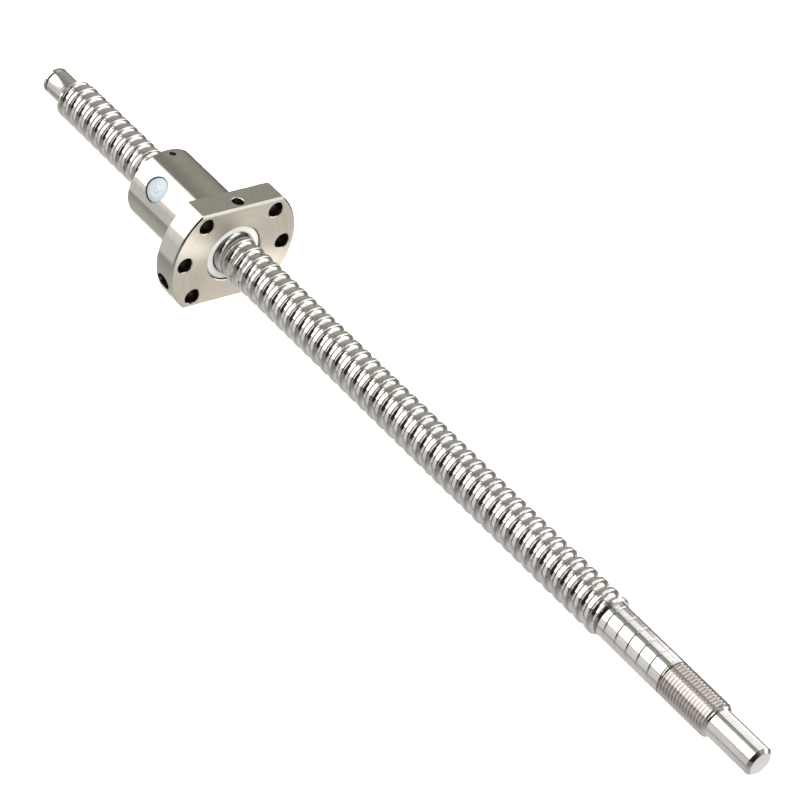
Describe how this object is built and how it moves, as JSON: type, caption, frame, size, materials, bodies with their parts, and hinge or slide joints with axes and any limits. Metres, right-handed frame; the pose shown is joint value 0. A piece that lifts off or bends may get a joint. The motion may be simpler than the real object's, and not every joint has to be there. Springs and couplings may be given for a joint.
{
  "type": "flanged ball screw assembly",
  "caption": "Ball screw with a flanged single nut: a rolled steel screw with stepped, threaded ends, and a nut that travels along it on recirculating balls.",
  "frame": {"origin": "on the screw's axis, at the shoulder that the fixed bearing rests on", "axes": "+X along the screw's axis towards the drive stub, +Z square to the flange's upper flat, +Y completes a right-handed frame"},
  "size_m": [0.3, 0.04, 0.03],
  "materials": {
    "polished_steel": "polished, with thin darker lines",
    "ground_steel": "fine ground and brushed",
    "wiper_plastic": "satin white",
    "deflector_plastic": "slightly clear pale blue",
    "ball_steel": "mirror polished"
  },
  "bodies": {
    "screw": {"screw_shaft": "polished_steel"},
    "carrier": {"rear_wiper": "wiper_plastic"},
    "nut": {"nut_body": "ground_steel", "front_wiper": "wiper_plastic", "deflector_rear": "deflector_plastic", "deflector_middle": "deflector_plastic", "deflector_front": "deflector_plastic", "ball_rear_1": "ball_steel", "ball_rear_2": "ball_steel", "ball_rear_3": "ball_steel", "ball_rear_4": "ball_steel", "ball_rear_5": "ball_steel", "ball_rear_6": "ball_steel", "ball_rear_7": "ball_steel", "ball_rear_8": "ball_steel", "ball_rear_9": "ball_steel", "ball_rear_10": "ball_steel", "ball_rear_11": "ball_steel", "ball_rear_12": "ball_steel", "ball_rear_13": "ball_steel", "ball_rear_14": "ball_steel", "ball_rear_15": "ball_steel", "ball_middle_1": "ball_steel", "ball_middle_2": "ball_steel", "ball_middle_3": "ball_steel", "ball_middle_4": "ball_steel", "ball_middle_5": "ball_steel", "ball_middle_6": "ball_steel", "ball_middle_7": "ball_steel", "ball_middle_8": "ball_steel", "ball_middle_9": "ball_steel", "ball_middle_10": "ball_steel", "ball_middle_11": "ball_steel", "ball_middle_12": "ball_steel", "ball_middle_13": "ball_steel", "ball_middle_14": "ball_steel", "ball_middle_15": "ball_steel", "ball_front_1": "ball_steel", "ball_front_2": "ball_steel", "ball_front_3": "ball_steel", "ball_front_4": "ball_steel", "ball_front_5": "ball_steel", "ball_front_6": "ball_steel", "ball_front_7": "ball_steel", "ball_front_8": "ball_steel", "ball_front_9": "ball_steel", "ball_front_10": "ball_steel", "ball_front_11": "ball_steel", "ball_front_12": "ball_steel", "ball_front_13": "ball_steel", "ball_front_14": "ball_steel", "ball_front_15": "ball_steel"}
  },
  "joints": [
    {"name": "nut_travel", "type": "slide", "parent": "screw", "child": "carrier", "axis": [1, 0, 0], "range_m": [-0.04, 0.152]},
    {"name": "nut_turn", "type": "hinge", "parent": "carrier", "child": "nut", "pos_m": [-0.176, 0, 0], "axis": [1, 0, 0], "range_deg": [-3601, 13681]}
  ],
  "couplings": [
    {"joint": "nut_turn", "follows": "nut_travel", "rad_per_m": 1570.8}
  ]
}
